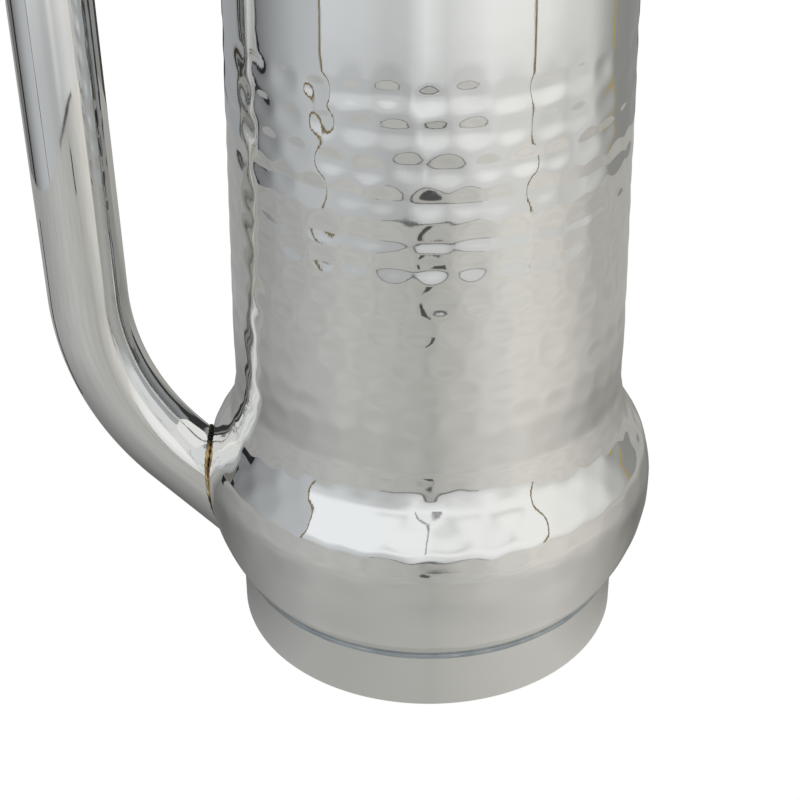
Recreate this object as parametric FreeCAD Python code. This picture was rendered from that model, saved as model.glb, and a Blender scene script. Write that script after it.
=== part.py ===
"""Hammered steel water pitcher: a one-piece neck and round belly on a ring foot, with a bent tube handle.

Millimetres, +Z up. The origin is on the pitcher's axis, in the plane that the foot stands on.
The handle is on the -X side and the pouring lip on the +X side. Each separate piece is one STEP file in parts/.
"""

import FreeCAD, Part

import math
import os

from FreeCAD import Vector

# Stock
SHELL_SHEET = 0.8
PAN_SHEET = 0.8
FOOT_SHEET = 1.0
TUBE_DIAMETER = 20.0
TUBE_WALL = 1.0
RIM_WIRE_DIAMETER = 2.8

# Foot ring
FOOT_HEIGHT = 17.0
FOOT_INSET = 8.5
FOOT_HEM_WIDTH = 6.0
FOOT_CORNER_RADIUS = 1.4
FOOT_SEAM_WIDTH = 0.7
FOOT_SEAM_RECESS = 0.1

# Belly and floor
BELLY_BULGE = 8.9
BELLY_LOWER_RISE = 25.6
BELLY_UPPER_RADIUS = 24.0
SHOULDER_RADIUS = 26.0
SHELL_EDGE_DEG = 48.0
FLOOR_LAP_DEG = 8.0
FLOOR_RAISE = 7.0
FLOOR_CORNER_RADIUS = 10.0
FLOOR_RING_WIDTH = 5.0
FLOOR_DOME_RISE = 1.5
FLOOR_SEAM_DEG = 1.8

# Neck and mouth
BODY_RADIUS = 49.6
WALL_HEIGHT = 158.7
NECK_NARROWING = 3.1
MOUTH_HEIGHT = 16.0
MOUTH_FLARE = 3.6
LIP_HEIGHT = 36.0
LIP_REACH = 16.0
LIP_SPREAD_DEG = 16.5
RIM_WRAP_DEG = 300.0

# Handle
HANDLE_GAP = 25.85
HANDLE_LEAN_DEG = 0.9
LOWER_BEND_RADIUS = 68.2
LOWER_BEND_DEG = 43.1
LOWER_BEND_RAISE = 50.0
UPPER_BEND_RADIUS = 30.0
ARM_DROP = 0.7
HANDLE_END_DEPTH = 14.0

# Joints
LAP_CLEARANCE = 0.1
WIRE_CLEARANCE = 0.05
ROOT_GAP = 0.1
SEAM_GAP = 0.1
WELD_WIDTH = 1.3
WELD_HEIGHT = 1.2

# Spline surfaces
AROUND = 72
ARC_STEP_DEG = 3.0
ROLL_ROWS = 12
WIRE_ROWS = 16

TUBE_RADIUS = TUBE_DIAMETER / 2
WIRE_RADIUS = RIM_WIRE_DIAMETER / 2
WIDEST_RADIUS = BODY_RADIUS + BELLY_BULGE
WIDEST_Z = FOOT_HEIGHT + BELLY_LOWER_RISE
FOOT_RADIUS = WIDEST_RADIUS - FOOT_INSET
LOWER_ARC_RADIUS = (BELLY_LOWER_RISE**2 + FOOT_INSET**2) / (2 * FOOT_INSET)
LOWER_ARC_X = WIDEST_RADIUS - LOWER_ARC_RADIUS
UPPER_ARC_X = WIDEST_RADIUS - BELLY_UPPER_RADIUS
SHOULDER_X = BODY_RADIUS + SHOULDER_RADIUS
SHOULDER_TURN = math.acos((SHOULDER_X - UPPER_ARC_X) / (BELLY_UPPER_RADIUS + SHOULDER_RADIUS))
SHOULDER_Z = WIDEST_Z + (BELLY_UPPER_RADIUS + SHOULDER_RADIUS) * math.sin(SHOULDER_TURN)
RIM_Z = SHOULDER_Z + WALL_HEIGHT
NECK_Z = RIM_Z - MOUTH_HEIGHT
LIP_ROOT_Z = RIM_Z - LIP_HEIGHT
PAN_OFFSET = -SHELL_SHEET - LAP_CLEARANCE


def belly_underside(radius):
    """Height of the belly's lower arc at a radius."""
    return WIDEST_Z - math.sqrt(LOWER_ARC_RADIUS**2 - (radius - LOWER_ARC_X) ** 2)


def line(a, b):
    return Part.LineSegment(a, b).toShape()


def arc(a, middle, b):
    return Part.Arc(a, middle, b).toShape()


def on_circle(x, z, radius, degrees):
    angle = math.radians(degrees)
    return Vector(x + radius * math.cos(angle), 0, z + radius * math.sin(angle))


def circle_arc(x, z, radius, start, end):
    """Arc in the XZ plane about (x, z), from one angle in degrees to another."""
    points = [on_circle(x, z, radius, d) for d in (start, (start + end) / 2, end)]
    return arc(*points)


def revolve(edges):
    """Solid of revolution about Z, from a closed profile in the XZ plane."""
    return Part.Face(Part.Wire(edges)).revolve(Vector(0, 0, 0), Vector(0, 0, 1), 360)


# Belly and floor

def floor_line(offset):
    """Edges of the belly's underside moved outwards by offset, from the middle of the floor to the knuckle."""
    corner = FLOOR_CORNER_RADIUS + offset
    floor_z = FLOOR_RAISE - offset
    reach = LOWER_ARC_RADIUS - FLOOR_CORNER_RADIUS
    drop = WIDEST_Z - FLOOR_RAISE - FLOOR_CORNER_RADIUS
    corner_x = LOWER_ARC_X + math.sqrt(reach**2 - drop**2)
    turn = -math.degrees(math.asin(drop / reach))
    dome_edge = Vector(corner_x - FLOOR_RING_WIDTH, 0, floor_z)
    dome_radius = (dome_edge.x**2 + FLOOR_DOME_RISE**2) / (2 * FLOOR_DOME_RISE)
    dome_half = math.degrees(math.asin(dome_edge.x / dome_radius)) / 2
    dome_top = Vector(0, 0, floor_z + FLOOR_DOME_RISE)
    dome_middle = on_circle(0, dome_top.z - dome_radius, dome_radius, 90 - dome_half)
    edges = [
        arc(dome_top, dome_middle, dome_edge),
        line(dome_edge, Vector(corner_x, 0, floor_z)),
        circle_arc(corner_x, FLOOR_RAISE + FLOOR_CORNER_RADIUS, corner, -90, turn),
    ]
    return edges, turn


def body_envelope(offset):
    """Filled outer shape of the floor, belly and neck, moved outwards by offset."""
    edges, turn = floor_line(offset)
    shoulder = math.degrees(SHOULDER_TURN)
    edges.append(circle_arc(LOWER_ARC_X, WIDEST_Z, LOWER_ARC_RADIUS + offset, turn, 0))
    edges.append(circle_arc(UPPER_ARC_X, WIDEST_Z, BELLY_UPPER_RADIUS + offset, 0, shoulder))
    edges.append(circle_arc(SHOULDER_X, SHOULDER_Z, SHOULDER_RADIUS - offset, 180 + shoulder, 180))
    corners = [
        Vector(BODY_RADIUS + offset, 0, SHOULDER_Z),
        Vector(BODY_RADIUS - NECK_NARROWING + offset, 0, NECK_Z),
        Vector(0, 0, NECK_Z),
        edges[0].Vertexes[0].Point,
    ]
    return revolve(edges + [line(a, b) for a, b in zip(corners, corners[1:])])


def floor_pan():
    """Pressed floor whose turned-up edge laps inside the shell's lower edge."""
    lap_top = FLOOR_LAP_DEG - SHELL_EDGE_DEG
    outside, turn = floor_line(PAN_OFFSET)
    inside, turn = floor_line(PAN_OFFSET - PAN_SHEET)
    radius = LOWER_ARC_RADIUS + PAN_OFFSET
    outside.append(circle_arc(LOWER_ARC_X, WIDEST_Z, radius, turn, lap_top))
    inside.append(circle_arc(LOWER_ARC_X, WIDEST_Z, radius - PAN_SHEET, turn, lap_top))
    joins = [line(outside[i].Vertexes[i].Point, inside[i].Vertexes[i].Point) for i in (0, -1)]
    return revolve(Part.__sortEdges__(outside + joins + inside))


def floor_seam_weld():
    """Weld run along the shell's lower edge, under the floor pan."""
    edge = -SHELL_EDGE_DEG - math.degrees(SEAM_GAP / LOWER_ARC_RADIUS)
    corners = [
        on_circle(LOWER_ARC_X, WIDEST_Z, LOWER_ARC_RADIUS + PAN_OFFSET, edge),
        on_circle(LOWER_ARC_X, WIDEST_Z, LOWER_ARC_RADIUS - FOOT_SEAM_RECESS, edge),
        on_circle(LOWER_ARC_X, WIDEST_Z, LOWER_ARC_RADIUS + PAN_OFFSET, edge - FLOOR_SEAM_DEG),
        on_circle(LOWER_ARC_X, WIDEST_Z, LOWER_ARC_RADIUS + PAN_OFFSET - PAN_SHEET / 2, edge),
    ]
    return polygon_ring(corners).cut(body_envelope(PAN_OFFSET))


def polygon_ring(corners):
    """Ring of straight-sided section."""
    return revolve([line(a, b) for a, b in zip(corners, corners[1:] + corners[:1])])


# Shell

def wall_radius(z):
    """Radius of the wall's outer surface without the pouring lip."""
    radius = BODY_RADIUS - NECK_NARROWING * (z - SHOULDER_Z) / (NECK_Z - SHOULDER_Z)
    if z > NECK_Z:
        radius += MOUTH_FLARE * ((z - NECK_Z) / MOUTH_HEIGHT) ** 2
    return radius


def lip_bulge(angle, z):
    """How far the pouring lip pushes the wall out, at an angle from +X."""
    rise = max(0.0, (z - LIP_ROOT_Z) / LIP_HEIGHT)
    return LIP_REACH * rise**2 * math.exp(-((angle / math.radians(LIP_SPREAD_DEG)) ** 2))


def wall_frame(angle, z):
    """A point on the wall's outer surface, with the unit directions outwards and up along the surface."""
    step = 1e-4

    def reach(a, height):
        return wall_radius(height) + lip_bulge(a, height)

    radius = reach(angle, z)
    turning = (reach(angle + step, z) - reach(angle - step, z)) / (2 * step)
    rising = (radius - reach(angle, z - step)) / step
    c, s = math.cos(angle), math.sin(angle)
    around = Vector(turning * c - radius * s, turning * s + radius * c, 0).normalize()
    outwards = around.cross(Vector(rising * c, rising * s, 1)).normalize()
    return Vector(radius * c, radius * s, z), outwards, outwards.cross(around)


def roll_point(angle, radius, turn):
    """A point round the rim wire's centre: turn 0 is at the wall's edge, 90 degrees is on top."""
    edge, outwards, up = wall_frame(angle, RIM_Z)
    centre = edge + outwards * (WIRE_RADIUS + WIRE_CLEARANCE)
    return centre + (up * math.sin(turn) - outwards * math.cos(turn)) * radius


def pole_scale(step):
    """Growth of cubic spline poles on a circle, step apart, that puts the curve at the wanted radius."""
    return 3 / (2 + math.cos(step))


def pole_ring(point_at):
    """Closed row of poles round the axis; point_at gives the wanted point at an angle from +X."""
    turns = [2 * math.pi * i / AROUND for i in range(AROUND)]
    points = [point_at(math.remainder(turn, 2 * math.pi)) for turn in turns]
    scale = pole_scale(2 * math.pi / AROUND)
    return [Vector(p.x * scale, p.y * scale, p.z) for p in points]


def spline_face(rows, closed_rows):
    """Cubic surface over closed rows of poles. closed_rows also joins the last row to the first."""
    count, around = len(rows), len(rows[0])
    if closed_rows:
        v_knots, v_mults = list(range(count + 1)), [1] * (count + 1)
    else:
        v_knots = list(range(count - 2))
        v_mults = [4] + [1] * (count - 4) + [4]
    u_knots, u_mults = list(range(around + 1)), [1] * (around + 1)
    poles = [[row[i] for row in rows] for i in range(around)]
    surface = Part.BSplineSurface()
    surface.buildFromPolesMultsKnots(poles, u_mults, v_mults, u_knots, v_knots, True, closed_rows, 3, 3)
    return surface.toShape()


def arc_poles(x, z, radius, start, end):
    """Poles as (radius, height) along an arc of the section, for a curve that runs at the arc's radius."""
    count = math.ceil(abs(end - start) / ARC_STEP_DEG)
    step = (end - start) / count
    grown = radius * pole_scale(math.radians(step))
    turns = [math.radians(start + step * i) for i in range(count + 1)]
    return [(x + grown * math.cos(turn), z + grown * math.sin(turn)) for turn in turns]


def belly_poles(depth):
    """Poles of the belly's section, depth under its outer surface, from the shell's lower edge to the wall."""
    shoulder = math.degrees(SHOULDER_TURN)
    lower = arc_poles(LOWER_ARC_X, WIDEST_Z, LOWER_ARC_RADIUS - depth, -SHELL_EDGE_DEG, 0)
    upper = arc_poles(UPPER_ARC_X, WIDEST_Z, BELLY_UPPER_RADIUS - depth, 0, shoulder)
    hollow = arc_poles(SHOULDER_X, SHOULDER_Z, SHOULDER_RADIUS + depth, 180 + shoulder, 180)
    return lower + upper[1:-1] + hollow


def wall_heights():
    """Heights of the pole rows: few on the straight wall, more where the lip and the mouth curve."""
    straight = [SHOULDER_Z + (LIP_ROOT_Z - SHOULDER_Z) * i / 5 for i in range(1, 5)]
    lip = [LIP_ROOT_Z + (NECK_Z - LIP_ROOT_Z) * i / 5 for i in range(5)]
    mouth = [NECK_Z + MOUTH_HEIGHT * i / 6 for i in range(6)]
    return straight + lip + mouth


def shell_skin(depth):
    """One side of the shell's sheet, depth under its outer surface, up from the foot and round the rim wire."""

    def on_belly(radius, z):
        return lambda angle: Vector(radius * math.cos(angle), radius * math.sin(angle), z)

    def on_wall(z):
        def point_at(angle):
            lean = wall_frame(angle, z)[1].z
            point, outwards, up = wall_frame(angle, z + lean * depth)
            return point - outwards * depth

        return point_at

    def on_roll(turn):
        return lambda angle: roll_point(angle, radius, turn)

    step = math.radians(RIM_WRAP_DEG) / ROLL_ROWS
    radius = (WIRE_RADIUS + WIRE_CLEARANCE + depth) * pole_scale(step)
    rows = [pole_ring(on_belly(*pole)) for pole in belly_poles(depth)]
    rows += [pole_ring(on_wall(z)) for z in wall_heights()]
    rows += [pole_ring(on_roll(step * i)) for i in range(ROLL_ROWS + 1)]
    return spline_face(rows, False)


def body_shell():
    """Neck and belly in one sheet, drawn into a pouring lip and rolled round the rim wire."""
    outside, inside = shell_skin(0), shell_skin(SHELL_SHEET)
    faces = [outside, inside]
    for index in (0, 1):
        first, second = (closed_edges(face)[index] for face in (outside, inside))
        faces.append(Part.makeRuledSurface(first, second))
    shell = Part.Shell(faces)
    shell.sewShape()
    return outwards_solid(shell)


def closed_edges(face):
    """The two end edges of a tube-like face, the lower one first."""
    rings = [edge for edge in face.Edges if edge.isClosed()]
    return sorted(rings, key=lambda edge: edge.BoundBox.ZMin)


def outwards_solid(shell):
    """Solid of a closed shell with its faces pointing outwards."""
    solid = Part.Solid(shell)
    if solid.Volume < 0:
        solid.reverse()
    return solid


def rim_wire():
    """Round wire that the rolled rim is wrapped about."""
    step = 2 * math.pi / WIRE_ROWS
    radius = WIRE_RADIUS * pole_scale(step)
    rows = [pole_ring(lambda angle: roll_point(angle, radius, step * i)) for i in range(WIRE_ROWS)]
    return outwards_solid(Part.Shell([spline_face(rows, True)]))


# Foot

def foot_ring():
    """Ring foot with a rounded bottom edge, a top edge cut to the belly, and a hem turned in to stand on."""
    inner = FOOT_RADIUS - FOOT_SHEET
    hem = inner - FOOT_HEM_WIDTH
    corner, inner_corner = FOOT_CORNER_RADIUS, FOOT_CORNER_RADIUS - FOOT_SHEET
    x = FOOT_RADIUS - corner
    return revolve([
        line(Vector(hem, 0, 0), Vector(x, 0, 0)),
        circle_arc(x, corner, corner, -90, 0),
        line(Vector(FOOT_RADIUS, 0, corner), Vector(FOOT_RADIUS, 0, FOOT_TOP_Z)),
        line(Vector(FOOT_RADIUS, 0, FOOT_TOP_Z), Vector(inner, 0, FOOT_INNER_TOP_Z)),
        line(Vector(inner, 0, FOOT_INNER_TOP_Z), Vector(inner, 0, corner)),
        circle_arc(x, corner, inner_corner, 0, -90),
        line(Vector(x, 0, FOOT_SHEET), Vector(hem, 0, FOOT_SHEET)),
        line(Vector(hem, 0, FOOT_SHEET), Vector(hem, 0, 0)),
    ])


def foot_seam_weld():
    """Solder run that fills the notch between the foot's top edge and the belly."""
    top = FOOT_HEIGHT + SEAM_GAP
    corners = [
        Vector(FOOT_RADIUS - FOOT_SHEET, 0, FOOT_INNER_TOP_Z),
        Vector(FOOT_RADIUS, 0, FOOT_TOP_Z),
        Vector(FOOT_RADIUS - FOOT_SEAM_RECESS, 0, top),
        Vector(FOOT_RADIUS - FOOT_SHEET, 0, top),
    ]
    return polygon_ring(corners).cut(body_envelope(0))


# Handle

def handle_points():
    """Points and arc middles of the tube's centre line, from inside the belly to inside the neck."""
    lean = math.radians(HANDLE_LEAN_DEG)
    turn = lean + math.radians(LOWER_BEND_DEG)
    inwards = Vector(math.cos(lean), 0, math.sin(lean))
    grip_low = Vector(-(BODY_RADIUS + HANDLE_GAP + TUBE_RADIUS), 0, WIDEST_Z + LOWER_BEND_RAISE)
    low_centre = grip_low + inwards * LOWER_BEND_RADIUS

    def low_arc(angle):
        return low_centre - Vector(math.cos(angle), 0, math.sin(angle)) * LOWER_BEND_RADIUS

    arm_z = NECK_Z - ARM_DROP - WELD_WIDTH - TUBE_RADIUS
    grip_high_z = arm_z - UPPER_BEND_RADIUS * (1 + math.sin(lean))
    grip_high_x = grip_low.x - (grip_high_z - grip_low.z) * math.tan(lean)
    grip_high = Vector(grip_high_x, 0, grip_high_z)
    high_centre = grip_high + inwards * UPPER_BEND_RADIUS
    middle = (math.pi / 2 + math.pi + lean) / 2
    high_middle = high_centre + Vector(math.cos(middle), 0, math.sin(middle)) * UPPER_BEND_RADIUS
    arm = high_centre + Vector(0, 0, UPPER_BEND_RADIUS)
    low_end = low_arc(turn)
    run = (-(WIDEST_RADIUS - HANDLE_END_DEPTH) - low_end.x) / math.sin(turn)
    tail = low_end + Vector(math.sin(turn), 0, -math.cos(turn)) * run
    arm_end = Vector(-(wall_radius(arm_z) - HANDLE_END_DEPTH), 0, arm_z)
    return tail, low_end, low_arc((lean + turn) / 2), grip_low, grip_high, high_middle, arm, arm_end


def handle_sweep(radius):
    """Round bar along the handle's whole centre line."""
    tail, low_end, low_middle, grip_low, grip_high, high_middle, arm, arm_end = handle_points()
    path = Part.Wire([
        line(tail, low_end),
        arc(low_end, low_middle, grip_low),
        line(grip_low, grip_high),
        arc(grip_high, high_middle, arm),
        line(arm, arm_end),
    ])
    section = Part.Wire(Part.makeCircle(radius, tail, low_end - tail))
    return path.makePipeShell([section], True, False)


def around_foot(offset):
    """Filled shape of the foot and its seam, moved outwards by offset."""
    return Part.makeCylinder(FOOT_RADIUS + offset, FOOT_HEIGHT + SEAM_GAP + offset)


def handle_tube():
    bar = handle_sweep(TUBE_RADIUS).cut(handle_sweep(TUBE_RADIUS - TUBE_WALL))
    return bar.cut(body_envelope(ROOT_GAP)).cut(around_foot(ROOT_GAP))


def handle_welds():
    """Weld beads round the two ends of the tube, the lower one first."""
    band = handle_sweep(TUBE_RADIUS + WELD_WIDTH).cut(handle_sweep(TUBE_RADIUS))
    beads = band.common(body_envelope(WELD_HEIGHT)).cut(body_envelope(0)).cut(around_foot(0))
    return sorted(beads.Solids, key=lambda bead: bead.CenterOfMass.z)


FOOT_TOP_Z = FOOT_HEIGHT - FOOT_SEAM_WIDTH
FOOT_INNER_TOP_Z = belly_underside(FOOT_RADIUS - FOOT_SHEET) - SEAM_GAP


def write(name, shape):
    """Writes one piece and prints its size, so that a broken build shows at once."""
    solids = shape.Solids
    if len(solids) != 1 or not shape.isValid() or shape.Volume <= 0:
        raise ValueError(f"{name}: {len(solids)} solids, valid {shape.isValid()}, volume {shape.Volume:.1f}")
    solids[0].exportStep(f"parts/{name}.step")
    box = shape.BoundBox
    print(f"{name}: {shape.Volume:.1f} mm3, z {box.ZMin:.2f} to {box.ZMax:.2f}, x {box.XMin:.2f} to {box.XMax:.2f}")


def main():
    os.makedirs("parts", exist_ok=True)
    lower_weld, upper_weld = handle_welds()
    write("body_shell", body_shell())
    write("floor_pan", floor_pan())
    write("floor_seam_weld", floor_seam_weld())
    write("foot_ring", foot_ring())
    write("foot_seam_weld", foot_seam_weld())
    write("handle_tube", handle_tube())
    write("handle_lower_weld", lower_weld)
    write("handle_upper_weld", upper_weld)
    write("rim_wire", rim_wire())


main()
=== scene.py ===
"""Looks of the hammered water pitcher: its metal skins, welds, materials, studio and camera.

Metres, in the row's frame: the origin is on the axis in the plane of the foot, the handle is on -X.
"""

import math

import bmesh
import bpy
import numpy as np
from mathutils import Matrix, Vector


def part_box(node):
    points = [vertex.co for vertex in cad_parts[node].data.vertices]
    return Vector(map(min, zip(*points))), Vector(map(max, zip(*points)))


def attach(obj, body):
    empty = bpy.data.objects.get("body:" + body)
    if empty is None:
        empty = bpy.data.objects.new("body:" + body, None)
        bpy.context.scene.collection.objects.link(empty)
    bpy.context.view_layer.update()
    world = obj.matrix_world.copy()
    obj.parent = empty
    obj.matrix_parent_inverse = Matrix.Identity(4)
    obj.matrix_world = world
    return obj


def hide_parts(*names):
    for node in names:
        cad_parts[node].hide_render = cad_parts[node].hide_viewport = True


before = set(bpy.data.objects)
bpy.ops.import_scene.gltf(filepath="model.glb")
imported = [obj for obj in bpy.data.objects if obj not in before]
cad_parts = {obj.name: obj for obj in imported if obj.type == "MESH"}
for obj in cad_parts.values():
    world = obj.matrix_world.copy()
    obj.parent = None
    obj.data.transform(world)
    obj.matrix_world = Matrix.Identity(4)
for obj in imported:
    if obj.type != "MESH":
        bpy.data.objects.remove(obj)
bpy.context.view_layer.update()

MM = 0.001

# Sizes read from the solids
FOOT_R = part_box("foot_ring")[1].x
FOOT_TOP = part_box("foot_ring")[1].z
SEAM_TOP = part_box("foot_seam_weld")[1].z
BELLY_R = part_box("body_shell")[1].y

# Sizes that the boxes can't give
SHEET = 0.8 * MM
NECK_R = 49.6 * MM
FOOT_HEIGHT, FOOT_INSET = 17.0 * MM, 8.5 * MM
LOWER_RISE = 25.6 * MM
WIDEST_Z = FOOT_HEIGHT + LOWER_RISE
UP_ARC, HOLLOW_ARC = 24.0 * MM, 26.0 * MM
EDGE_TURN = math.radians(48)
WALL_HEIGHT = 158.7 * MM
NARROWING = 3.1 * MM
MOUTH_HEIGHT, MOUTH_FLARE = 16.0 * MM, 3.6 * MM
LIP_HEIGHT, LIP_REACH, LIP_SPREAD = 36.0 * MM, 15.4 * MM, math.radians(16.5)
WIRE_R, WIRE_GAP, RIM_WRAP = 1.4 * MM, 0.05 * MM, math.radians(300)
FLOOR_Z, KNUCKLE, FLOOR_RING, DOME = 7.0 * MM, 10.0 * MM, 5.0 * MM, 1.5 * MM
PAN_SHEET, PAN_CLEARANCE, PAN_LAP = 0.8 * MM, 0.1 * MM, math.radians(8)
TUBE_R, TUBE_WALL = 10.0 * MM, 1.0 * MM
HAND_GAP, LEAN = 25.85 * MM, math.radians(0.9)
LOW_BEND_R, LOW_BEND, LOW_RAISE = 68.2 * MM, math.radians(43.1), 50.0 * MM
TOP_BEND_R, ARM_DROP = 30.0 * MM, 12.0 * MM
END_DEPTH = 14.0 * MM

# The body's section: an arc below the widest height, an arc above it and a hollow arc into the neck
LOW_ARC = (LOWER_RISE**2 + FOOT_INSET**2) / (2 * FOOT_INSET)
LOW_X = BELLY_R - LOW_ARC
UP_X = BELLY_R - UP_ARC
HOLLOW_X = NECK_R + HOLLOW_ARC
TURN = math.acos((HOLLOW_X - UP_X) / (UP_ARC + HOLLOW_ARC))
SHOULDER_Z = WIDEST_Z + (UP_ARC + HOLLOW_ARC) * math.sin(TURN)
MEET_Z = WIDEST_Z + UP_ARC * math.sin(TURN)
HOLLOW_RUN, UP_RUN, LOW_RUN = HOLLOW_ARC * TURN, UP_ARC * TURN, LOW_ARC * EDGE_TURN
HAMMER_LOW = HOLLOW_RUN + UP_RUN + 24 * MM
RIM_Z = SHOULDER_Z + WALL_HEIGHT
NECK_Z = RIM_Z - MOUTH_HEIGHT
LIP_ROOT = RIM_Z - LIP_HEIGHT

# Hammering: heights in millimetres of the rows on the neck, and each row's turn in degrees
HAMMER_TOP = 167.0 * MM
ROW_HEIGHTS = (
    163.2, 155.4, 147.4, 139.7, 130.6, 124.0, 115.5,
    108.0, 100.0, 92.4, 84.0, 77.2, 70.8,
)
ROW_TURNS = (
    -0.6, 0.8, 3.6, -2.3, 0.3, 0.2, 0.4, -2.8, 4.0, -1.0,
    -4.0, 1.5, -3.0, 0.0, 4.6, 0.5, -3.5, 1.6, -1.2,
)
ROW_PITCH, BELLY_PITCH, BELLY_ROW = 7.4 * MM, 7.0 * MM, 10.1 * MM
AROUND = 35

# Height and depth of the marks, in millimetres
DEPTHS = (
    (48, 0.12), (52, 0.26), (62, 0.26), (68, 0.08), (75, 0.08), (82, 0.18),
    (100, 0.17), (115, 0.20), (124, 0.28), (135, 0.27), (158, 0.32), (165, 0.37),
)

# Shallow turned hollows: run, depth, and reach above and below
GROOVES = (
    (SHOULDER_Z - 72.2 * MM, 0.30 * MM, 13 * MM, 5 * MM),
    (24.6 * MM, 0.30 * MM, 5 * MM, 14 * MM),
)


# Shapes

def mesh_object(name, bm, sharp=50):
    bmesh.ops.recalc_face_normals(bm, faces=bm.faces)
    mesh = bpy.data.meshes.new(name)
    bm.to_mesh(mesh)
    bm.free()
    mesh.polygons.foreach_set("use_smooth", [True] * len(mesh.polygons))
    mesh.set_sharp_from_angle(angle=math.radians(sharp))
    obj = bpy.data.objects.new(name, mesh)
    bpy.context.scene.collection.objects.link(obj)
    return obj


def turned(name, rows, around, place, closed=False, sharp=50):
    """Surface of rows round the axis. place(angle, row) gives x, y and z for arrays of angles and rows."""
    bm = bmesh.new()
    bmesh.ops.create_vert(bm, co=(1, 0, 0))
    last = list(bm.verts)
    for i in range(1, rows):
        grown = bmesh.ops.extrude_vert_indiv(bm, verts=last)
        last = grown["verts"]
        bmesh.ops.translate(bm, verts=last, vec=(0, 0, 1))
    bmesh.ops.spin(
        bm, geom=list(bm.verts) + list(bm.edges), cent=(0, 0, 0), axis=(0, 0, 1),
        angle=2 * math.pi, steps=around, use_merge=True,
    )
    if closed:
        open_edges = [e for e in bm.edges if e.is_boundary]
        bmesh.ops.bridge_loops(bm, edges=open_edges)
    co = np.array([v.co for v in bm.verts])
    angle = np.arctan2(co[:, 1], co[:, 0])
    row = np.rint(co[:, 2]).astype(int)
    moved = np.stack(place(angle, row), axis=1)
    for vert, point in zip(bm.verts, moved):
        vert.co = point
    return mesh_object(name, bm, sharp)


def section_place(section):
    """Placing function for turned: each row is one point (r, z) of the section."""
    section = np.array(section)

    def place(angle, row):
        return section[row, 0] * np.cos(angle), section[row, 0] * np.sin(angle), section[row, 1]

    return place


def wall_radius(z):
    radius = NECK_R - NARROWING * (z - SHOULDER_Z) / (NECK_Z - SHOULDER_Z)
    rise = np.maximum(z - NECK_Z, 0) / MOUTH_HEIGHT
    return radius + MOUTH_FLARE * rise**2


def lip_bulge(angle, z):
    rise = np.maximum(z - LIP_ROOT, 0) / LIP_HEIGHT
    return LIP_REACH * rise**2 * np.exp(-((angle / LIP_SPREAD) ** 2))


def wall_frame(angle, z):
    """Points on the wall's outer surface, with unit vectors outwards and up along the surface."""
    step = 1e-4

    def reach(a, h):
        return wall_radius(h) + lip_bulge(a, h)

    radius = reach(angle, z)
    turning = (reach(angle + step, z) - reach(angle - step, z)) / (2 * step)
    rising = (radius - reach(angle, z - step * MM)) / (step * MM)
    c, s, zero = np.cos(angle), np.sin(angle), np.zeros_like(angle)
    side = np.stack([turning * c - radius * s, turning * s + radius * c, zero], axis=1)
    side /= np.linalg.norm(side, axis=1)[:, None]
    up = np.stack([rising * c, rising * s, zero + 1], axis=1)
    out = np.cross(side, up)
    out /= np.linalg.norm(out, axis=1)[:, None]
    return np.stack([radius * c, radius * s, z], axis=1), out, np.cross(out, side)


def belly_frame(angle, run):
    """Points on the belly at distances run below the neck, with unit vectors outwards and up."""
    turn = TURN - (run - HOLLOW_RUN) / UP_ARC
    low_turn = (HOLLOW_RUN + UP_RUN - run) / LOW_ARC
    hollow_turn = math.pi + run / HOLLOW_ARC
    kinds = [run < HOLLOW_RUN, run < HOLLOW_RUN + UP_RUN]
    turn = np.select(kinds, [hollow_turn, turn], low_turn)
    x = np.select(kinds, [HOLLOW_X, UP_X], LOW_X)
    z = np.select(kinds, [SHOULDER_Z, WIDEST_Z], WIDEST_Z)
    radius = np.select(kinds, [HOLLOW_ARC, UP_ARC], LOW_ARC)
    sign = np.where(kinds[0], -1, 1)
    out_r, out_z = sign * np.cos(turn), sign * np.sin(turn)
    r = x + radius * np.cos(turn)
    c, s = np.cos(angle), np.sin(angle)
    point = np.stack([r * c, r * s, z + radius * np.sin(turn)], axis=1)
    out = np.stack([out_r * c, out_r * s, out_z], axis=1)
    up = np.stack([-out_z * c, -out_z * s, out_r], axis=1)
    return point, out, up


def shell_frame(angle, run):
    """As belly_frame for the whole shell: run is negative on the neck, up to the rim."""
    low = belly_frame(angle, np.maximum(run, 0))
    high = wall_frame(angle, SHOULDER_Z - np.minimum(run, 0))
    on_belly = (run > 0)[:, None]
    return [np.where(on_belly, a, b) for a, b in zip(low, high)]


def body_radius(z, offset=0.0):
    """Radius of the body's outer surface, moved out by offset, at heights z below the mouth."""
    low = LOW_X + np.sqrt(np.maximum((LOW_ARC + offset) ** 2 - (z - WIDEST_Z) ** 2, 0))
    high = UP_X + np.sqrt(np.maximum((UP_ARC + offset) ** 2 - (z - WIDEST_Z) ** 2, 0))
    hollow = HOLLOW_X - np.sqrt(np.maximum((HOLLOW_ARC - offset) ** 2 - (z - SHOULDER_Z) ** 2, 0))
    kinds = [z < WIDEST_Z, z < MEET_Z, z < SHOULDER_Z]
    return np.select(kinds, [low, high, hollow], wall_radius(z) + offset)


# Hammer marks

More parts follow.
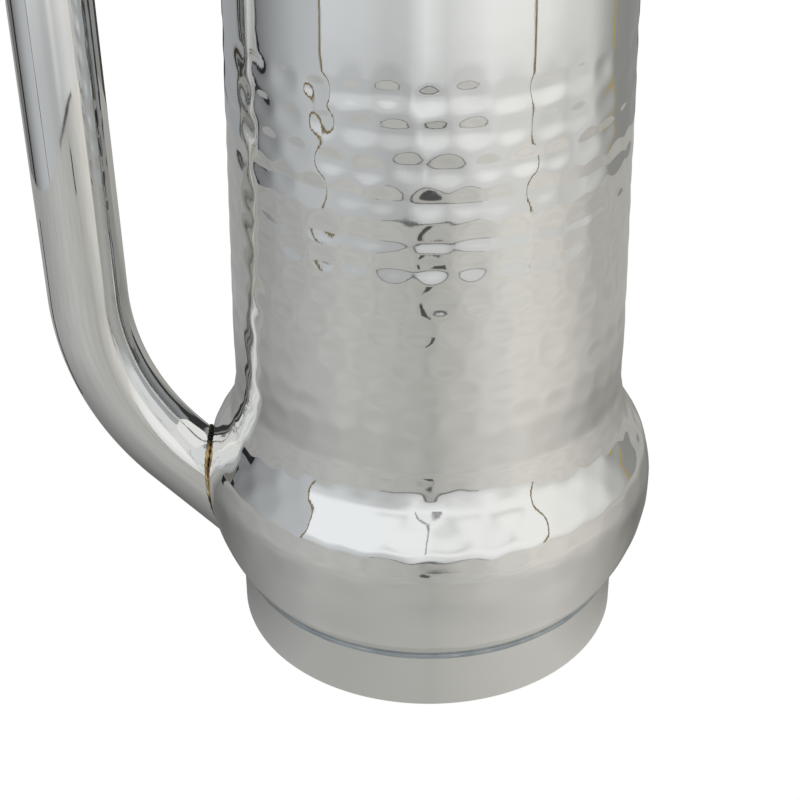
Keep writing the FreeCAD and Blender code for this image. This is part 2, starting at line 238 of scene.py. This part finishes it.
class Marks:
    """Rows of shallow round hammer marks round the body, placed by angle and by run below the neck."""

    def __init__(self, seed):
        r = np.random.default_rng(seed)
        top = SHOULDER_Z - np.array(ROW_HEIGHTS) * MM
        lower = np.arange(BELLY_ROW, HAMMER_LOW, BELLY_PITCH)
        self.run = np.concatenate([top, lower])
        rows = len(self.run)
        self.phase = np.radians(np.resize(ROW_TURNS, rows)) - math.pi / 2
        self.shift = r.normal(0, 0.08, (rows, AROUND))
        self.lift = r.normal(0, 0.05, (rows, AROUND))
        self.wide = r.uniform(0.56, 0.68, (rows, AROUND))
        self.tall = r.uniform(0.52, 0.62, (rows, AROUND))
        self.deep = r.uniform(0.7, 1.1, (rows, AROUND))

    def depth(self, angle, run):
        """Depth from 0 to about 1; marks side by side run into each other."""
        total = np.zeros_like(angle)
        nearest = np.abs(run[:, None] - self.run[None, :]).argmin(axis=1)
        for dk in (-1, 0, 1):
            k = nearest + dk
            real = (k >= 0) & (k < len(self.run))
            k = np.clip(k, 0, len(self.run) - 1)
            turns = (angle - self.phase[k]) / (2 * math.pi) * AROUND
            near = np.rint(turns).astype(int)
            for dj in (-1, 0, 1):
                j = (near + dj) % AROUND
                across = (turns - near - dj - self.shift[k, j]) / self.wide[k, j]
                along = ((run - self.run[k]) / ROW_PITCH - self.lift[k, j]) / self.tall[k, j]
                rho = np.minimum(across**2 + along**2, 1)
                total += np.where(real, (1 - rho) ** 2 * self.deep[k, j], 0)
        return total


marks = Marks(5)


def dent(angle, run):
    """Depth of the hammering in metres: none above the top row or beside the foot."""
    top = SHOULDER_Z - HAMMER_TOP
    fade = np.clip((run - top) / (0.6 * MM), 0, 1) * np.clip((HAMMER_LOW - run) / (4 * MM), 0, 1)
    deep = np.interp((SHOULDER_Z - run) / MM, *zip(*DEPTHS)) * MM
    depth = deep * marks.depth(angle, run) * fade
    for groove, at_most, above, below in GROOVES:
        off = (run - groove) / np.where(run < groove, above, below)
        depth += at_most * np.maximum(1 - off**2, 0) ** 2
    return depth


# Shell

def shell_runs():
    """Runs of the outer rows from the lower edge up to the rim, and of the inner rows back down."""
    edge, foot = HOLLOW_RUN + UP_RUN + LOW_RUN, HAMMER_LOW
    top, root, rim = SHOULDER_Z - HAMMER_TOP, SHOULDER_Z - LIP_ROOT, SHOULDER_Z - RIM_Z
    outer = [
        np.linspace(edge, foot, 5)[:-1],
        np.linspace(foot, top, 148)[:-1],
        np.linspace(top, root, 7)[:-1],
        np.linspace(root, rim, 14)[:-1],
    ]
    inner = [
        np.linspace(rim, root, 14)[1:],
        np.linspace(root, top, 6)[1:],
        np.linspace(top, foot, 74)[1:],
        np.linspace(foot, edge, 5)[1:],
    ]
    return np.concatenate(outer), np.concatenate(inner)


def make_shell():
    outer, inner = shell_runs()
    turns = np.linspace(0, RIM_WRAP, 13)
    bore = WIRE_R + WIRE_GAP
    n_out, n_roll = len(outer), len(turns)

    def on_roll(angle, turn, radius):
        edge, out, up = wall_frame(angle, np.full_like(angle, RIM_Z))
        return edge + out * bore + (up * np.sin(turn)[:, None] - out * np.cos(turn)[:, None]) * radius

    def on_sheet(angle, run, depth):
        point, out, up = shell_frame(angle, run)
        return point - out * (depth + dent(angle, run))[:, None]

    def place(angle, row):
        point = np.zeros((len(row), 3))
        kind = np.digitize(row, [n_out, n_out + n_roll, n_out + 2 * n_roll])
        first, second, third, fourth = (kind == i for i in range(4))
        point[first] = on_sheet(angle[first], outer[row[first]], 0)
        point[second] = on_roll(angle[second], turns[row[second] - n_out], bore)
        back = n_out + 2 * n_roll - 1 - row[third]
        point[third] = on_roll(angle[third], turns[back], bore + SHEET)
        point[fourth] = on_sheet(angle[fourth], inner[row[fourth] - n_out - 2 * n_roll], SHEET)
        return point[:, 0], point[:, 1], point[:, 2]

    return turned("shell", n_out + 2 * n_roll + len(inner), 340, place, closed=True)


# Floor

def floor_section(offset):
    """Points of one side of the floor pan, from the middle out, round the knuckle and up the lap."""
    reach, drop = LOW_ARC - KNUCKLE, WIDEST_Z - FLOOR_Z - KNUCKLE
    corner_x = LOW_X + math.sqrt(reach**2 - drop**2)
    turn = -math.asin(drop / reach)
    flat = corner_x - FLOOR_RING
    points = []
    for r in np.linspace(0.3 * MM, flat, 16):
        points.append((r, FLOOR_Z - offset + DOME * (1 - (r / flat) ** 2)))
    for a in np.linspace(-math.pi / 2, turn, 12):
        grown = KNUCKLE + offset
        points.append((corner_x + grown * math.cos(a), FLOOR_Z + KNUCKLE + grown * math.sin(a)))
    for a in np.linspace(turn, PAN_LAP - EDGE_TURN, 6)[1:]:
        grown = LOW_ARC + offset
        points.append((LOW_X + grown * math.cos(a), WIDEST_Z + grown * math.sin(a)))
    return points


def make_pan():
    outside = floor_section(-SHEET - PAN_CLEARANCE)
    inside = floor_section(-SHEET - PAN_CLEARANCE - PAN_SHEET)
    section = outside + inside[::-1]
    return turned("pan", len(section), 180, section_place(section), closed=True)


# Foot and its seam

def make_foot():
    sheet, hem, corner = 1.0 * MM, 6.0 * MM, 1.4 * MM
    inner_r = FOOT_R - sheet
    section = [(inner_r - hem, 0), (FOOT_R - corner - 2 * MM, 0)]
    for a in np.linspace(-math.pi / 2, 0, 9):
        section.append((FOOT_R - corner + corner * math.cos(a), corner + corner * math.sin(a)))
    for z in np.linspace(corner, FOOT_TOP, 14)[1:]:
        section.append((FOOT_R, z))
    section += [(inner_r, FOOT_TOP), (inner_r, FOOT_TOP / 2), (inner_r, corner)]
    inner_corner = corner - sheet
    for a in np.linspace(0, -math.pi / 2, 5)[1:]:
        section.append((FOOT_R - corner + inner_corner * math.cos(a), corner + inner_corner * math.sin(a)))
    section.append((inner_r - hem, sheet))
    return turned("foot", len(section), 320, section_place(section), closed=True, sharp=60)


def ripple(angle, seed, count=9, high=40):
    """Smooth irregular wave round the axis, about -1 to 1."""
    r = np.random.default_rng(seed)
    wave = np.zeros_like(angle)
    for _ in range(count):
        wave += np.cos(angle * r.integers(5, high) + r.uniform(0, 6.28)) * r.uniform(0.3, 1)
    return wave / count * 1.8


def make_foot_seam():
    """Solder run over the joint of the foot and the belly, with uneven edges."""
    steps = np.linspace(0, 1, 9)

    def place(angle, row):
        t = steps[row]
        low_z = FOOT_TOP - 0.7 * MM * (1 + 0.35 * ripple(angle, 3))
        high_z = SEAM_TOP + 0.2 * MM * ripple(angle, 4)
        z = low_z + (high_z - low_z) * t
        r = FOOT_R + (body_radius(high_z) - FOOT_R) * t + 0.02 * MM + 0.08 * MM * np.sin(math.pi * t)
        r = np.maximum(r, body_radius(z) + 0.02 * MM)
        return r * np.cos(angle), r * np.sin(angle), z

    return turned("foot_seam", len(steps), 480, place)


# Handle

def handle_line():
    """Points and unit directions of the bent centre line, low to high, and the straight tail's length."""
    turn = LEAN + LOW_BEND
    inward = np.array([math.cos(LEAN), 0, math.sin(LEAN)])
    low_grip = np.array([-(NECK_R + HAND_GAP + TUBE_R), 0, WIDEST_Z + LOW_RAISE])
    low_centre = low_grip + inward * LOW_BEND_R
    top_grip_z = NECK_Z - ARM_DROP - TOP_BEND_R * (1 + math.sin(LEAN))
    top_grip = np.array([low_grip[0] - (top_grip_z - low_grip[2]) * math.tan(LEAN), 0, top_grip_z])
    top_centre = top_grip + inward * TOP_BEND_R
    points, along = [], []
    low_end = low_centre - LOW_BEND_R * np.array([math.cos(turn), 0, math.sin(turn)])
    tail = (END_DEPTH - BELLY_R - low_end[0]) / math.sin(turn)
    for a in np.linspace(turn, LEAN, 44):
        points.append(low_centre - LOW_BEND_R * np.array([math.cos(a), 0, math.sin(a)]))
        along.append(np.array([-math.sin(a), 0, math.cos(a)]))
    for t in np.linspace(0, 1, 34)[1:-1]:
        points.append(low_grip + (top_grip - low_grip) * t)
        along.append((top_grip - low_grip) / np.linalg.norm(top_grip - low_grip))
    for a in np.linspace(math.pi + LEAN, math.pi / 2, 40):
        points.append(top_centre + TOP_BEND_R * np.array([math.cos(a), 0, math.sin(a)]))
        along.append(np.array([math.sin(a), 0, -math.cos(a)]))
    return np.array(points), np.array(along), tail


LINE, ALONG, TAIL = handle_line()
LINE_SIDE, INWARDS = np.array([0.0, 1.0, 0.0]), np.array([1.0, 0.0, 0.0])
LINE_OUT = np.cross(LINE_SIDE, ALONG)


def body_hit(start, direction, offset):
    """Moves points along a direction, to the belly or the wall moved out by offset or to the tail's end."""
    t = np.zeros(len(start))
    for _ in range(60):
        p = start + direction * t[:, None]
        z = p[:, 2]
        t = np.minimum(t + (np.hypot(p[:, 0], p[:, 1]) - body_radius(z, offset)) * 0.8, TAIL)
    return start + direction * t[:, None]


def tube_points(angle, radius, index):
    out, side = LINE_OUT[index], LINE_SIDE
    return LINE[index] + (out * np.cos(angle)[:, None] + side * np.sin(angle)[:, None]) * radius


def make_handle():
    side_rows = len(LINE) + 2
    gap = 0.12 * MM

    def place(angle, row):
        inside = row >= side_rows
        i = np.where(inside, 2 * side_rows - 1 - row, row)
        radius = np.where(inside, TUBE_R - TUBE_WALL, TUBE_R)
        index = np.clip(i - 1, 0, len(LINE) - 1)
        point = tube_points(angle, radius[:, None], index)
        low, high = i == 0, i == side_rows - 1
        point[low] = body_hit(point[low], -ALONG[0], gap)
        point[high] = body_hit(point[high], INWARDS, gap)
        return point[:, 0], point[:, 1], point[:, 2]

    return turned("handle", 2 * side_rows, 96, place, closed=True, sharp=60)


def make_bead(name, low, seed):
    """Weld bead with cast ripples round one end of the tube."""
    ring = np.linspace(0, 2 * math.pi, 15)[:-1]
    end = 0 if low else len(LINE) - 1
    direction = -ALONG[0] if low else INWARDS

    def place(angle, row):
        base = tube_points(angle, TUBE_R, np.full(len(angle), end))
        on = body_hit(base, direction, 0.15 * MM)
        turn = ring[row]
        casts = np.cos(angle * 46 + 2 * ripple(angle, seed + 1, 4, 9))
        size = 0.85 * MM * (0.78 + 0.16 * ripple(angle, seed, 7, 26) + 0.13 * casts)
        outwards = base - LINE[end]
        outwards /= np.linalg.norm(outwards, axis=1)[:, None]
        point = on + outwards * (np.cos(turn) * size * 0.8)[:, None]
        point -= direction * (np.sin(turn) * size)[:, None]
        return point[:, 0], point[:, 1], point[:, 2]

    return turned(name, len(ring), 420, place, closed=True, sharp=80)


# Materials

def material(name):
    mat = bpy.data.materials.new(name)
    mat.use_nodes = True
    nodes, links = mat.node_tree.nodes, mat.node_tree.links
    return mat, nodes, links, nodes["Principled BSDF"]


def add(nodes, kind, **values):
    node = nodes.new(kind)
    for key, value in values.items():
        if hasattr(node, key):
            setattr(node, key, value)
        else:
            node.inputs[key.replace("_", " ")].default_value = value
    return node


def stretched(nodes, links, scale):
    """Object coordinates scaled by a vector."""
    coords = add(nodes, "ShaderNodeTexCoord")
    mapping = add(nodes, "ShaderNodeMapping")
    mapping.inputs["Scale"].default_value = scale
    links.new(coords.outputs["Object"], mapping.inputs["Vector"])
    return mapping.outputs["Vector"]


def steel(name, tint, rough, wave=0.0, brush=0.0):
    """Polished sheet: slight waves, faint upright brushing, and small changes of gloss and tint."""
    mat, nodes, links, shader = material(name)
    shader.inputs["Metallic"].default_value = 1.0
    patch = add(nodes, "ShaderNodeTexNoise", Scale=28.0, Detail=3.0)
    links.new(stretched(nodes, links, (1, 1, 1)), patch.inputs["Vector"])
    ramp = add(nodes, "ShaderNodeMapRange")
    ramp.inputs["From Min"].default_value = 0.35
    ramp.inputs["From Max"].default_value = 0.7
    ramp.inputs["To Min"].default_value = rough * 0.7
    ramp.inputs["To Max"].default_value = rough * 1.4
    links.new(patch.outputs["Fac"], ramp.inputs["Value"])
    links.new(ramp.outputs["Result"], shader.inputs["Roughness"])
    mix = add(nodes, "ShaderNodeMix", data_type="RGBA")
    mix.inputs["A"].default_value = (*tint, 1)
    mix.inputs["B"].default_value = (tint[0] * 0.95, tint[1] * 0.955, tint[2] * 0.96, 1)
    links.new(patch.outputs["Fac"], mix.inputs["Factor"])
    links.new(mix.outputs["Result"], shader.inputs["Base Color"])
    height = add(nodes, "ShaderNodeTexNoise", Scale=1.0, Detail=4.0)
    links.new(stretched(nodes, links, (1400, 1400, 22)), height.inputs["Vector"])
    swell = add(nodes, "ShaderNodeTexNoise", Scale=1.0, Detail=2.0)
    links.new(stretched(nodes, links, (70, 70, 70)), swell.inputs["Vector"])
    first = add(nodes, "ShaderNodeBump", Strength=brush, Distance=0.00003)
    second = add(nodes, "ShaderNodeBump", Strength=wave, Distance=0.0006)
    links.new(height.outputs["Fac"], first.inputs["Height"])
    links.new(swell.outputs["Fac"], second.inputs["Height"])
    links.new(first.outputs["Normal"], second.inputs["Normal"])
    links.new(second.outputs["Normal"], shader.inputs["Normal"])
    return mat


def weld(name):
    """Heat-tinted bead: straw, brown and near-black bands over steel."""
    mat, nodes, links, shader = material(name)
    shader.inputs["Metallic"].default_value = 1.0
    noise = add(nodes, "ShaderNodeTexNoise", Scale=1.0, Detail=2.0, Roughness=0.6)
    links.new(stretched(nodes, links, (90, 90, 160)), noise.inputs["Vector"])
    ramp = add(nodes, "ShaderNodeValToRGB")
    stops = ramp.color_ramp.elements
    stops[0].position, stops[0].color = 0.36, (0.02, 0.018, 0.015, 1)
    stops[1].position, stops[1].color = 0.66, (0.75, 0.62, 0.48, 1)
    middle = stops.new(0.47)
    middle.color = (0.16, 0.11, 0.05, 1)
    gold = stops.new(0.56)
    gold.color = (0.45, 0.32, 0.15, 1)
    links.new(noise.outputs["Fac"], ramp.inputs["Fac"])
    links.new(ramp.outputs["Color"], shader.inputs["Base Color"])
    shader.inputs["Roughness"].default_value = 0.22
    return mat


def solder(name):
    """Dull blue-grey run of solder."""
    mat, nodes, links, shader = material(name)
    shader.inputs["Metallic"].default_value = 1.0
    noise = add(nodes, "ShaderNodeTexNoise", Scale=1.0, Detail=3.0)
    links.new(stretched(nodes, links, (120, 120, 300)), noise.inputs["Vector"])
    ramp = add(nodes, "ShaderNodeValToRGB")
    stops = ramp.color_ramp.elements
    stops[0].position, stops[0].color = 0.3, (0.34, 0.38, 0.41, 1)
    stops[1].position, stops[1].color = 0.75, (0.52, 0.56, 0.59, 1)
    links.new(noise.outputs["Fac"], ramp.inputs["Fac"])
    links.new(ramp.outputs["Color"], shader.inputs["Base Color"])
    shader.inputs["Roughness"].default_value = 0.42
    return mat


HAMMERED = steel("hammered_steel", (0.80, 0.80, 0.785), 0.045, wave=0.10, brush=0.15)
POLISHED = steel("polished_steel", (0.80, 0.80, 0.785), 0.05, wave=0.04, brush=0.12)
WELD = weld("weld_metal")
SOLDER = solder("solder")


def finish_piece(obj, mat, slot, *nodes):
    obj.data.materials.clear()
    obj.data.materials.append(mat)
    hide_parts(*nodes)
    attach(obj, "root")


finish_piece(make_shell(), HAMMERED, "hammered_steel", "body_shell")
finish_piece(make_pan(), POLISHED, "polished_steel", "floor_pan")
finish_piece(make_foot(), POLISHED, "polished_steel", "foot_ring")
finish_piece(make_foot_seam(), SOLDER, "solder", "foot_seam_weld")
finish_piece(make_handle(), POLISHED, "polished_steel", "handle_tube")
finish_piece(make_bead("lower_bead", True, 21), WELD, "weld_metal", "handle_lower_weld")
finish_piece(make_bead("upper_bead", False, 31), WELD, "weld_metal", "handle_upper_weld")

for node, mat in (("floor_seam_weld", SOLDER), ("rim_wire", POLISHED)):
    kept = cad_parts[node]
    kept.data.materials.clear()
    kept.data.materials.append(mat)


# Studio

def glow(name, colour, strength=1.0):
    """Plain light-giving material."""
    mat, nodes, links, shader = material(name)
    nodes.remove(shader)
    emit = add(nodes, "ShaderNodeEmission", Strength=strength)
    emit.inputs["Color"].default_value = (*colour, 1)
    links.new(emit.outputs["Emission"], nodes["Material Output"].inputs["Surface"])
    return mat


def place_stage(obj, mat, camera=False, glossy=True):
    obj.data.materials.append(mat)
    obj.visible_camera = camera
    obj.visible_glossy = glossy
    obj.visible_shadow = False


def card(name, low, high, place, turn, mat, **seen):
    """Flat rectangle between two corners in its own X and Y, turned and placed."""
    bm = bmesh.new()
    bmesh.ops.create_grid(bm, x_segments=1, y_segments=1, size=0.5)
    middle = ((low[0] + high[0]) / 2, (low[1] + high[1]) / 2, 0)
    bmesh.ops.scale(bm, verts=bm.verts, vec=(high[0] - low[0], high[1] - low[1], 1))
    bmesh.ops.translate(bm, verts=bm.verts, vec=middle)
    mesh = bpy.data.meshes.new(name)
    bm.to_mesh(mesh)
    bm.free()
    obj = bpy.data.objects.new(name, mesh)
    obj.rotation_euler = [math.radians(t) for t in turn]
    obj.location = place
    bpy.context.scene.collection.objects.link(obj)
    place_stage(obj, mat, **seen)


def upright(name, azimuth, distance, width, low, high, mat):
    """Upright card facing the axis. Azimuth is in degrees from the camera's side, positive towards +X."""
    a = math.radians(azimuth)
    place = (distance * math.sin(a), -distance * math.cos(a), 0)
    card(name, (-width / 2, low), (width / 2, high), place, (90, 0, azimuth), mat)


def lit_surface(name, section, light_at, cool, warm):
    """Surface turned round the axis whose light is worked out at each vertex from azimuth and place."""
    obj = turned(name, len(section), 360, section_place(section))
    co = np.array([v.co for v in obj.data.vertices])
    azimuth = np.degrees(np.arctan2(co[:, 0], -co[:, 1]))
    colour = np.ones((len(co), 4))
    warmth = np.clip((azimuth + 60) / 120, 0, 1)[:, None]
    tint = np.array(cool) * (1 - warmth) + np.array(warm) * warmth
    colour[:, :3] = tint * light_at(azimuth, *co.T)[:, None]
    light = obj.data.color_attributes.new("light", "FLOAT_COLOR", "POINT")
    light.data.foreach_set("color", colour.ravel())
    mat = glow(name, (1, 1, 1))
    source = add(mat.node_tree.nodes, "ShaderNodeAttribute", attribute_name="light")
    mat.node_tree.links.new(source.outputs["Color"], mat.node_tree.nodes["Emission"].inputs["Color"])
    place_stage(obj, mat)


# Levels of light: degrees from the camera's side, and level. HIGH_LEVELS are those well above the table
TENT_LEVELS = (
    (-180, 0.05), (-162, 0.05), (-158, 0.38), (-129, 0.38), (-127, 0.3), (-104, 0.22), (-90, 0.38),
    (-75, 0.54), (-60, 0.60), (-59, 0.80), (-35, 0.76), (-22, 0.68), (-13, 0.70), (-3, 0.97),
    (7, 0.82), (17, 0.92), (30, 1.05), (50, 1.02), (62, 0.98), (75, 0.84), (90, 0.74),
    (104, 0.47), (116, 0.30), (130, 0.28), (158, 0.30), (162, 0.05), (180, 0.05),
)
HIGH_LEVELS = ((-60, 1.06), (50, 1.04), (96, 0.84), (116, 0.3), (130, 0.12))
TABLE_LEVELS = (
    (-180, 0.4), (-100, 0.38), (-45, 0.57), (-18, 0.52), (0, 0.48), (12, 0.56), (30, 0.70),
    (47, 0.78), (70, 0.70), (98, 0.48), (180, 0.4),
)

# Height and share of the tent's level at that height, on the camera's side
RISE = ((-0.25, 0.72), (-0.06, 0.76), (0.0, 0.95), (0.06, 1.0))

# Soft dim patches on the tent: strength, degrees and their reach, height and its reach
TENT_SPOTS = (
    (0.2, -2, 9, -0.11, 0.022), (0.22, 12, 9, 0.26, 0.06),
    (0.18, -18, 7, 0.22, 0.05), (0.2, 38, 7, 0.24, 0.05),
)
FLOOR_DROP, TENT_TOP, TENT, TABLE = -0.25, 0.9, 0.62, 0.358


def tent_light(azimuth, x, y, z):
    front = np.interp(azimuth, (-60, -59, 75, 95), (0, 1, 1, 0))
    rise = 1 + (np.interp(z, *zip(*RISE)) - 1) * front
    high = np.interp(z, (0.05, 0.13), (0, 1)) * front
    level = np.interp(azimuth, *zip(*TENT_LEVELS)) * rise * (1 - high)
    level += np.interp(azimuth, *zip(*HIGH_LEVELS)) * high
    for strength, turn, wide, height, tall in TENT_SPOTS:
        spot = ((azimuth - turn) / wide) ** 2 + ((z - height) / tall) ** 2
        level *= 1 - strength * np.exp(-spot)
    return level


def table_light(azimuth, x, y, z):
    """Faint mottling, and shade beside the foot."""
    mottle = np.sin(x * 97 + 1.3) * np.sin(y * 83 + 0.4)
    mottle += np.sin(x * 61 - y * 74) * np.sin(x * 43 + y * 52 + 2)
    near = np.clip((0.2 - np.hypot(x, y)) / 0.1, 0, 1)
    shade = near * (0.03 + 0.46 * np.minimum(np.abs(azimuth) / 90, 1.1) ** 1.5)
    return np.interp(azimuth, *zip(*TABLE_LEVELS)) * (1 + 0.03 * mottle) * (1 - shade)


WHITE = glow("back", (1, 1, 1))
card("floor", (-15, -15), (15, 15), (0, 0, -0.0004), (0, 0, 0), WHITE, camera=True, glossy=False)
card("tent_floor", (-1, -1), (1, 1), (0, 0, FLOOR_DROP), (0, 0, 0), glow("tent_floor", (0.5, 0.5, 0.5)))
card("tent_top", (-1, -1), (1, 1), (0, 0, TENT_TOP), (0, 0, 0), glow("tent_top", (1.2, 1.2, 1.2)))
tent_heights = [FLOOR_DROP, *np.linspace(-0.18, 0.10, 29), *np.linspace(0.14, 0.60, 24), TENT_TOP]
tent_rings = [(TENT, z) for z in tent_heights]
lit_surface("tent", tent_rings, tent_light, (0.95, 0.985, 1.02), (1.0, 0.995, 0.965))
table_rings = [(r, -0.0006) for r in np.linspace(0.01, TABLE, 50)]
lit_surface("table", table_rings, table_light, (0.99, 1.0, 0.975), (1.03, 1.0, 0.935))

for name, azimuth, width, top, colour in (
    ("gap_left", -59.5, 0.014, TENT_TOP, (0.20, 0.15, 0.07)),
    ("gap_right", 54.5, 0.014, TENT_TOP, (0.22, 0.16, 0.07)),
    ("edge_right", 113, 0.020, TENT_TOP, (0.42, 0.34, 0.14)),
    ("post_a", -108, 0.065, 0.05, (0.02, 0.02, 0.025)),
    ("post_b", -117, 0.110, 0.05, (0.20, 0.19, 0.17)),
    ("post_c", -124.5, 0.030, 0.05, (0.05, 0.04, 0.025)),
):
    upright(name, azimuth, TENT - 0.01, width, FLOOR_DROP, top, glow(name, colour))
DARK = glow("dark", (0.02, 0.02, 0.025))
for k in range(-4, 5):
    upright(f"table_edge_{k}", k * 5.5, TABLE + 0.001, 0.0345, -0.001, 0.003 - 0.0004 * abs(k), DARK)

STAND_FOOT = glow("stand_foot", (0.08, 0.08, 0.08))
card("stand_foot", (-0.008, -0.03), (0.008, 0.02), (-0.006, -0.296, -0.0003), (0, 0, 8), STAND_FOOT)
# Painted shadow: a dark strip on the table where the stand post's shadow falls, seen only in the metal's
# reflections
card("post_shadow_strip", (-0.085, -0.009), (0.085, 0.009), (-0.221, 0.084, -0.0003), (0, 0, -22.2), DARK)

world = bpy.data.worlds.new("studio")
world.use_nodes = True
world.node_tree.nodes["Background"].inputs["Color"].default_value = (1, 1, 1, 1)
world.node_tree.nodes["Background"].inputs["Strength"].default_value = 1.0
bpy.context.scene.world = world
bpy.context.scene.view_settings.view_transform = "Standard"

# Camera

data = bpy.data.cameras.new("camera")
data.sensor_fit = "AUTO"
data.sensor_width = 36.0
data.lens = 78.7
data.clip_start = 0.01
camera = bpy.data.objects.new("camera", data)
camera.location = (-7.45 * MM, -386.85 * MM, 300.6 * MM)
pitch, roll = math.radians(31.81), math.radians(-0.27)
aim = Matrix.Rotation(math.pi / 2 - pitch, 3, "X") @ Matrix.Rotation(roll, 3, "Z")
camera.rotation_euler = aim.to_euler()
bpy.context.scene.collection.objects.link(camera)
bpy.context.scene.camera = camera

# The camera's own lens and stand, as the metal reflects them
behind = camera.location + camera.rotation_euler.to_matrix() @ Vector((0, 0, 0.03))
towards = [math.degrees(t) for t in camera.rotation_euler]
LENS, STAND = glow("lens", (0.12, 0.12, 0.13)), glow("stand", (0.3, 0.3, 0.3))
card("lens", (-0.013, -0.012), (0.013, 0.012), behind, towards, LENS)
card("stand", (-0.005, -0.2), (0.005, 0.0), behind + Vector((0, -0.03, 0)), [90, 0, 0], STAND)
